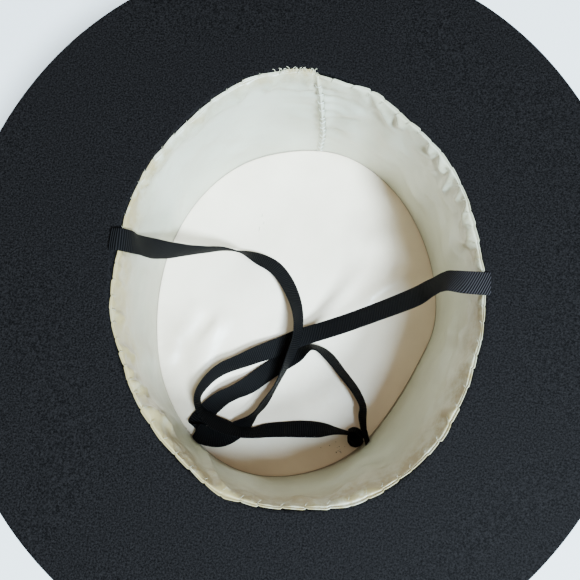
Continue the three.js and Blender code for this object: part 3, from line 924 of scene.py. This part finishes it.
frayed_count = 15
frayed_lines = []
for i in range(frayed_count):
    at = 92.8 + 11.5 * (i / frayed_count) + hem_random.uniform(-0.3, 0.3)
    long = hem_random.uniform(0.0003, 0.0010) * (2 if 98.5 < at < 100.5 else 1)
    sideways = hem_random.uniform(-1.2, 1.2)
    frayed_lines.append([
        on_band(at, 0.0866, 0.0030, 0), on_band(at + sideways * 0.3, 0.0870, 0.0038 + long * 0.5, 0),
        on_band(at + sideways, 0.0870 + long * hem_random.uniform(-0.2, 0.5), 0.0038 + long, 0),
    ])
cotton_threads("frayed_threads", frayed_lines, frayed_thread, (0.56, 0.50, 0.34))


# The disc: an oval of the same satin on the flat of the crown, sewn round to the foot of the band.
# It is cut a little full, so it lies in a few soft swells.
disc_half = lining_half - 0.0005
disc_level = 0.0046
disc_columns = 240
disc_shares = [0.004] + [i / 46 for i in range(1, 46)] + [0.988, 0.996, 1.0]
# Soft swells of the disc: both ends, half width and height.
swells = [
    (-0.041, -0.015, -0.050, -0.052, 0.0055, 0.0017), (-0.060, -0.030, -0.046, -0.072, 0.0040, -0.0010),
    (0.043, 0.011, 0.060, 0.026, 0.0045, 0.0014), (0.046, 0.006, 0.064, 0.016, 0.0040, -0.0008),
    (0.041, 0.011, 0.057, 0.043, 0.0070, 0.0009),
    (-0.030, -0.030, -0.012, 0.020, 0.0200, 0.0010), (0.020, 0.060, 0.050, 0.030, 0.0180, 0.0008),
    (-0.020, 0.030, -0.030, 0.060, 0.0120, 0.0006), (0.030, -0.020, 0.050, 0.010, 0.0150, -0.0006),
    (0.000, -0.082, 0.030, -0.078, 0.0080, -0.0005), (-0.036, -0.060, -0.020, -0.040, 0.0060, 0.0008),
    (-0.046, -0.054, -0.030, -0.034, 0.0045, 0.0011), (-0.058, -0.036, -0.042, -0.018, 0.0045, 0.0010),
    (-0.047, -0.015, -0.061, -0.043, 0.0042, -0.0013), (-0.056, -0.010, -0.066, -0.036, 0.0045, 0.0008),
    (-0.050, -0.062, -0.046, -0.070, 0.0040, 0.0012),
]
disc_angles = np.radians(np.linspace(0, 360, disc_columns, endpoint=False))


def disc_height(x, y, share):
    level = disc_level + 0 * x
    for x1, y1, x2, y2, width, rise in swells:
        _, apart = beside_run(x - x1, y - y1, x2 - x1, y2 - y1)
        level = level + rise * np.exp(-((apart / width) ** 2)) * (1 - share ** 8)
    return level


disc_points = []
for share in disc_shares:
    reach = oval_reach(np.full(disc_columns, disc_half), np.zeros(disc_columns), disc_angles) * share
    x, y = reach * np.cos(disc_angles), reach * np.sin(disc_angles)
    z = disc_height(x, y, share)
    # Its edge is puckered a little by the seam, and drawn down under the band's foot.
    edge = np.clip((share - 0.93) / 0.07, 0, 1)
    z += 0.00018 * edge * np.sin(disc_angles * 84) * (1 - edge) * 4
    z -= 0.0006 * np.clip((share - 0.985) / 0.015, 0, 1) ** 2
    disc_points.append(np.stack([x, y, z], 1))
disc = sheet_from_grid("satin_disc", np.concatenate(disc_points), len(disc_shares), disc_columns)
disc_shape = bmesh.new()
disc_shape.from_mesh(disc.data)
disc_shape.verts.ensure_lookup_table()
disc_shape.faces.new([disc_shape.verts[i] for i in range(disc_columns)])
bmesh.ops.recalc_face_normals(disc_shape, faces=disc_shape.faces)
disc_shape.to_mesh(disc.data)
disc_shape.free()
if disc.data.polygons[0].normal.z < 0:
    disc.data.flip_normals()
give_thickness(disc)
# Painted shade of a cast shadow over its front left, as on the band beside it.
disc_painted_shade = disc.data.attributes.new("painted_shade", "FLOAT", "POINT")
disc_painted_shade.data.foreach_set("value", [
    0.6 * math.exp(-((v.co.x + 0.062) / 0.018) ** 2 - ((v.co.y + 0.036) / 0.026) ** 2)
    for v in disc.data.vertices
])
disc_satin = satin_cloth("ivory satin", (0.92, 0.75, 0.58), (0.66, 0.48, 0.30))
disc.data.materials.append(disc_satin)
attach(disc, "root")
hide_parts("lining_tip")

# The line of the seam that joins the disc to the foot of the band: one dark cotton thread laid into the
# satin all round the disc, as painted shadow of the seam's gap.
seam_shadow_reach = oval_reach(np.full(disc_columns, disc_half - 0.00055), np.zeros(disc_columns), disc_angles)
seam_shadow_round = [
    (reach * math.cos(turned), reach * math.sin(turned), disc_level - 0.00005)
    for reach, turned in zip(seam_shadow_reach, disc_angles)
]
cotton_threads("disc_seam_shadow", [seam_shadow_round + seam_shadow_round[:1]], 0.00028, (0.35, 0.27, 0.20))

# Wear of the disc: three threads pulled out of the satin's weave near its middle, and small brown
# specks by the knot, most of them close together.
pulled_lines = []
for x, y, long in ((-0.0266, 0.0410, 0.0026), (-0.0262, 0.0492, 0.0018), (-0.0246, 0.0450, 0.0012)):
    z = float(disc_height(x, y, 0.5)) + 0.0001
    pulled_lines.append([(x, y - long / 2, z), (x + 0.0002, y, z + 0.0003), (x, y + long / 2, z)])
cotton_threads("pulled_threads", pulled_lines, 0.00022, (0.45, 0.38, 0.30))
speck_count = 26
close_specks = 18
speck_shape = bmesh.new()
speck_random = random.Random(5)
for i in range(speck_count):
    spread = 1 if i < close_specks else 3.5
    x = 0.0345 + speck_random.gauss(0, 0.0032) * spread
    y = -0.0755 + speck_random.gauss(0, 0.0018) * min(spread, 1.6)
    rim = oval_reach(np.array([disc_half]), np.array([0.0]), np.array([math.atan2(y, x)]))[0]
    if rim < math.hypot(x, y) + 0.002:
        continue
    speck = bmesh.ops.create_circle(
        speck_shape, cap_ends=True, segments=7, radius=speck_random.uniform(0.00012, 0.0003),
    )
    for vertex in speck["verts"]:
        vertex.co += Vector((x, y, float(disc_height(x, y, 0.9)) + 0.00006))
speck_mesh = bpy.data.meshes.new("disc_specks")
speck_shape.to_mesh(speck_mesh)
speck_shape.free()
specks = bpy.data.objects.new("disc_specks", speck_mesh)
bpy.context.collection.objects.link(specks)
speck_finish, _ = new_material("brown specks", (0.10, 0.06, 0.03), 0.8)
speck_mesh.materials.append(speck_finish)
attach(specks, "root")


# A plain pale floor under the hat, cool light from the front right as from a tall window, in two
# round panels, and a warm room.
bpy.ops.object.select_all(action="DESELECT")
bpy.ops.mesh.primitive_plane_add(size=40, location=(0, 0, 0))
floor = bpy.context.object
floor.name = "floor"
floor_finish, _ = new_material("pale floor", (0.78, 0.74, 0.71), 0.8)
floor.data.materials.append(floor_finish)


def soft_light(name, azimuth, elevation, distance, size, power, colour):
    azimuth, elevation = math.radians(azimuth), math.radians(elevation)
    away = Vector((
        math.cos(azimuth) * math.cos(elevation),
        math.sin(azimuth) * math.cos(elevation),
        math.sin(elevation),
    ))
    bpy.ops.object.light_add(type="AREA", location=away * distance)
    light = bpy.context.object
    light.name = name
    light.rotation_euler = away.to_track_quat("Z", "Y").to_euler()
    light.data.shape = "DISK"
    light.data.size = size
    light.data.energy = power
    light.data.color = colour


soft_light("window", -46, 55, 2.4, 0.46, 255, (0.65, 0.90, 1.09))
soft_light("window_top", -30, 70, 2.4, 0.5, 90, (0.65, 0.90, 1.09))
world = bpy.data.worlds.new("room")
bpy.context.scene.world = world
world.use_nodes = True
world.node_tree.nodes["Background"].inputs["Color"].default_value = (1.0, 0.83, 0.68, 1)
world.node_tree.nodes["Background"].inputs["Strength"].default_value = 0.46
